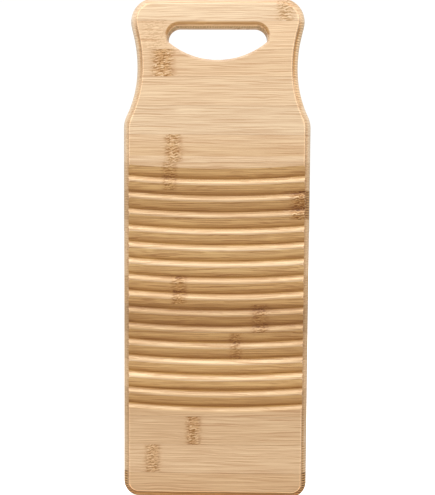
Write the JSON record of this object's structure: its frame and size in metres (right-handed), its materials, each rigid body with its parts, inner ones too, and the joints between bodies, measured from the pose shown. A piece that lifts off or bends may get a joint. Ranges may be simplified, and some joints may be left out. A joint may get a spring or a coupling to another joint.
{
  "type": "washboard",
  "caption": "Flat laminated bamboo washboard with a waisted head, a hand slot, a stepped edge moulding and a field of shallow curved scrubbing ribs.",
  "frame": {"origin": "under the middle of the board's thickness and width, at its bottom edge", "axes": "+Z runs from the foot to the head with the hand slot, the ribbed face looks along -Y, +X is to the right for someone facing the ribs"},
  "size_m": [0.1856, 0.02, 0.5],
  "materials": {
    "bamboo_front": "satin, lightly sealed bamboo, grain across the board",
    "bamboo_core": "satin bamboo, grain along the board",
    "bamboo_back": "satin bamboo, grain across the board"
  },
  "bodies": {
    "root": {"back_lath_01": "bamboo_back", "back_lath_02": "bamboo_back", "back_lath_03": "bamboo_back", "back_lath_04": "bamboo_back", "back_lath_05": "bamboo_back", "back_lath_06": "bamboo_back", "back_lath_07": "bamboo_back", "back_lath_08": "bamboo_back", "back_lath_09": "bamboo_back", "back_lath_10": "bamboo_back", "back_lath_11": "bamboo_back", "back_lath_12": "bamboo_back", "back_lath_13": "bamboo_back", "back_lath_14": "bamboo_back", "back_lath_15": "bamboo_back", "back_lath_16": "bamboo_back", "back_lath_17_left": "bamboo_back", "back_lath_17_right": "bamboo_back", "back_lath_18": "bamboo_back", "core_lath_1": "bamboo_core", "core_lath_2": "bamboo_core", "core_lath_3": "bamboo_core", "core_lath_4": "bamboo_core", "core_lath_5": "bamboo_core", "core_lath_6": "bamboo_core", "core_lath_7": "bamboo_core", "core_stub_3": "bamboo_core", "core_stub_4": "bamboo_core", "core_stub_5": "bamboo_core", "front_lath_01": "bamboo_front", "front_lath_02": "bamboo_front", "front_lath_03": "bamboo_front", "front_lath_04": "bamboo_front", "front_lath_05": "bamboo_front", "front_lath_06": "bamboo_front", "front_lath_07": "bamboo_front", "front_lath_08": "bamboo_front", "front_lath_09": "bamboo_front", "front_lath_10": "bamboo_front", "front_lath_11": "bamboo_front", "front_lath_12": "bamboo_front", "front_lath_13": "bamboo_front", "front_lath_14": "bamboo_front", "front_lath_15": "bamboo_front", "front_lath_16": "bamboo_front", "front_lath_17": "bamboo_front", "front_lath_18": "bamboo_front"}
  },
  "joints": []
}
